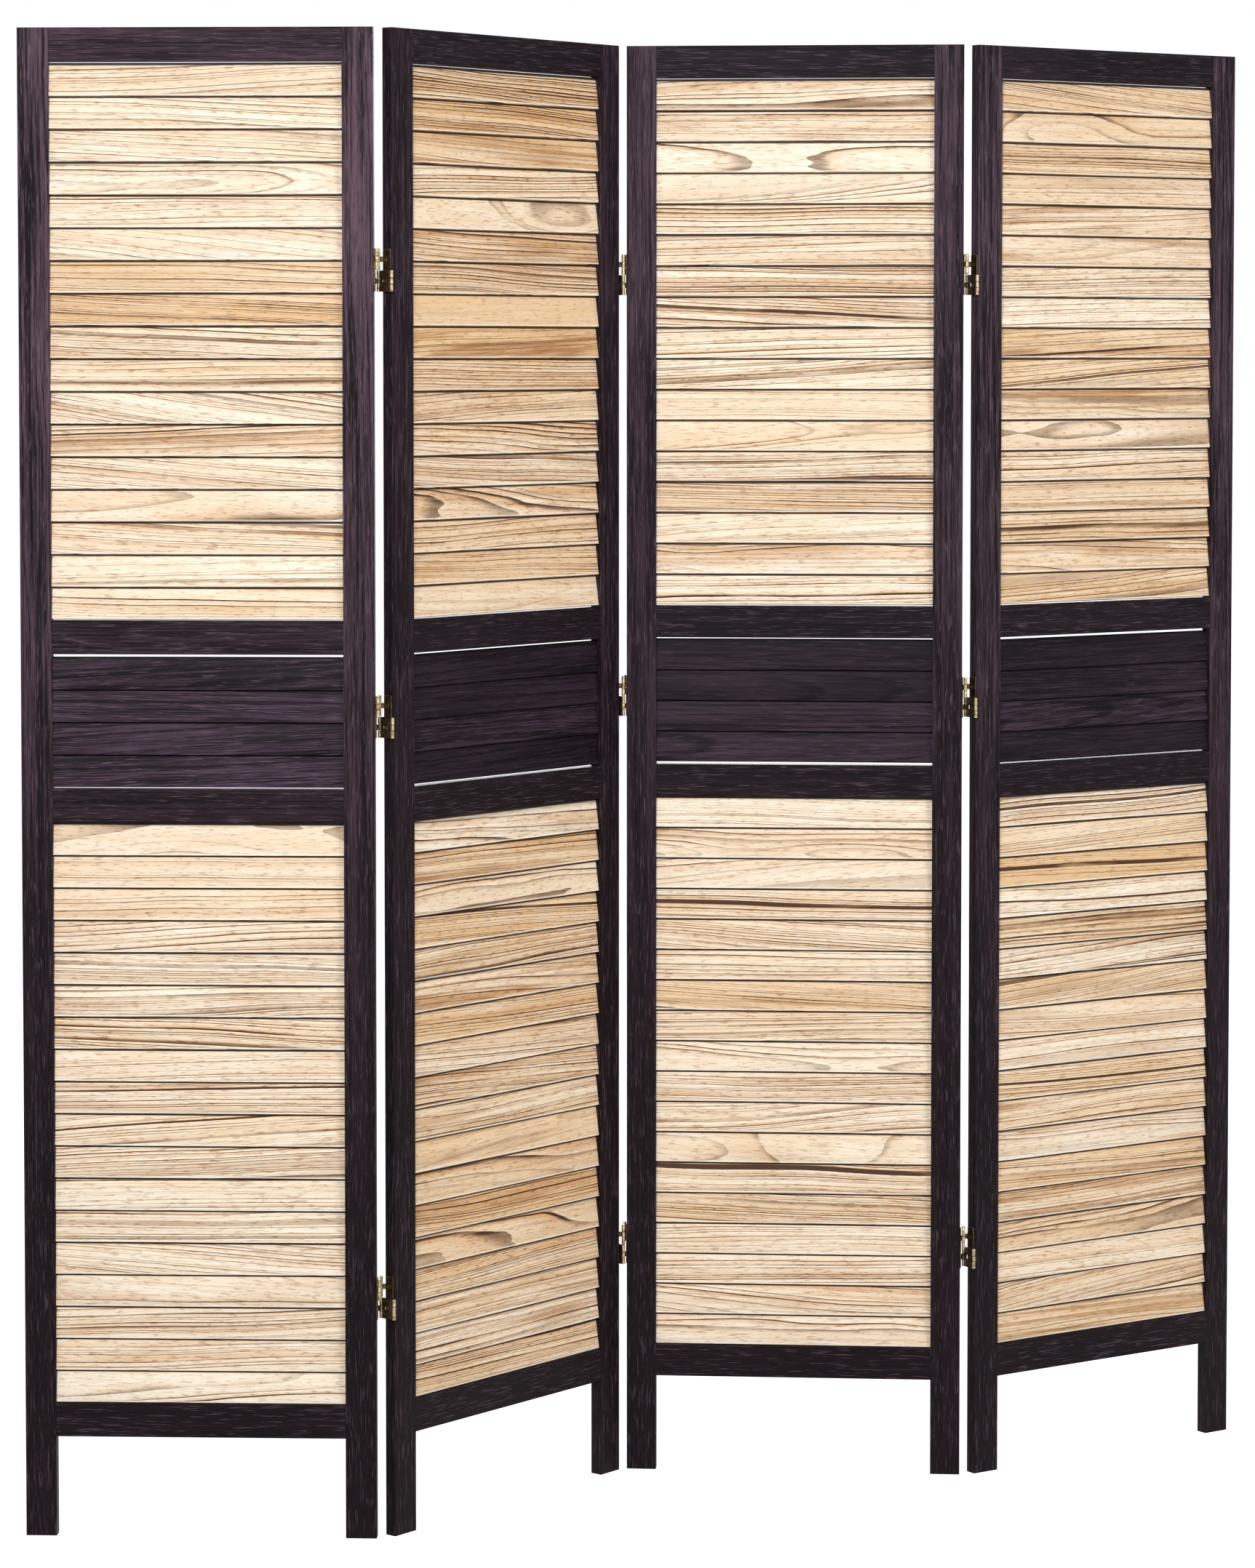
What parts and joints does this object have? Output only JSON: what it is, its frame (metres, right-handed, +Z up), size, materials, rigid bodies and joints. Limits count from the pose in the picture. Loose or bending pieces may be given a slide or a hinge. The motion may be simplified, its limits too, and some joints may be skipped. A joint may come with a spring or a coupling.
{
  "type": "folding screen",
  "caption": "Free-standing folding screen of louvred wood panels in dark stained frames, joined by double-action hinges so that it stands in a zigzag or folds flat.",
  "frame": {"origin": "on the floor, below the middle of the standing screen's bounding box", "axes": "+X along the screen from the first panel to the last, +Y away from the viewer, towards the panels' backs, +Z up"},
  "size_m": [1.4288, 0.5258, 1.7],
  "materials": {
    "stained_frame": "open-grained dark espresso stain, satin",
    "stained_slats": "open-grained dark espresso stain, satin",
    "natural_slats": "pale natural wood with brown growth rings, matt",
    "hinge_metal": "dark antique brass, brighter where it is worn"
  },
  "bodies": {
    "panel_1": {"panel_1_left_stile": "stained_frame", "panel_1_right_stile": "stained_frame", "panel_1_bottom_rail": "stained_frame", "panel_1_lower_middle_rail": "stained_frame", "panel_1_upper_middle_rail": "stained_frame", "panel_1_top_rail": "stained_frame", "panel_1_lower_slats": "natural_slats", "panel_1_middle_slats": "stained_slats", "panel_1_upper_slats": "natural_slats", "hinges_1_2_left_leaves": "hinge_metal", "hinges_1_2_upper_links_with_pins": "hinge_metal"},
    "panel_2": {"panel_2_left_stile": "stained_frame", "panel_2_right_stile": "stained_frame", "panel_2_bottom_rail": "stained_frame", "panel_2_lower_middle_rail": "stained_frame", "panel_2_upper_middle_rail": "stained_frame", "panel_2_top_rail": "stained_frame", "panel_2_lower_slats": "natural_slats", "panel_2_middle_slats": "stained_slats", "panel_2_upper_slats": "natural_slats", "hinges_1_2_right_leaves": "hinge_metal", "hinges_1_2_lower_links_with_pins": "hinge_metal", "hinges_2_3_left_leaves": "hinge_metal", "hinges_2_3_lower_links_with_pins": "hinge_metal"},
    "panel_3": {"panel_3_left_stile": "stained_frame", "panel_3_right_stile": "stained_frame", "panel_3_bottom_rail": "stained_frame", "panel_3_lower_middle_rail": "stained_frame", "panel_3_upper_middle_rail": "stained_frame", "panel_3_top_rail": "stained_frame", "panel_3_lower_slats": "natural_slats", "panel_3_middle_slats": "stained_slats", "panel_3_upper_slats": "natural_slats", "hinges_2_3_right_leaves": "hinge_metal", "hinges_2_3_upper_links_with_pins": "hinge_metal", "hinges_3_4_left_leaves": "hinge_metal", "hinges_3_4_upper_links_with_pins": "hinge_metal"},
    "panel_4": {"panel_4_left_stile": "stained_frame", "panel_4_right_stile": "stained_frame", "panel_4_bottom_rail": "stained_frame", "panel_4_lower_middle_rail": "stained_frame", "panel_4_upper_middle_rail": "stained_frame", "panel_4_top_rail": "stained_frame", "panel_4_lower_slats": "natural_slats", "panel_4_middle_slats": "stained_slats", "panel_4_upper_slats": "natural_slats", "hinges_3_4_right_leaves": "hinge_metal", "hinges_3_4_lower_links_with_pins": "hinge_metal"}
  },
  "joints": [
    {"name": "fold_1_2", "type": "hinge", "parent": "panel_1", "child": "panel_2", "pos_m": [-0.31212, -0.24101, 0.85], "axis": [0, 0, 1], "range_deg": [-52.6, 126.4]},
    {"name": "fold_2_3", "type": "hinge", "parent": "panel_2", "child": "panel_3", "pos_m": [-0.03664, 0.0576, 0.85], "axis": [0, 0, -1], "range_deg": [-54.7, 124.3]},
    {"name": "fold_3_4", "type": "hinge", "parent": "panel_3", "child": "panel_4", "pos_m": [0.36944, 0.04479, 0.85], "axis": [0, 0, 1], "range_deg": [-37.9, 141.1]}
  ]
}
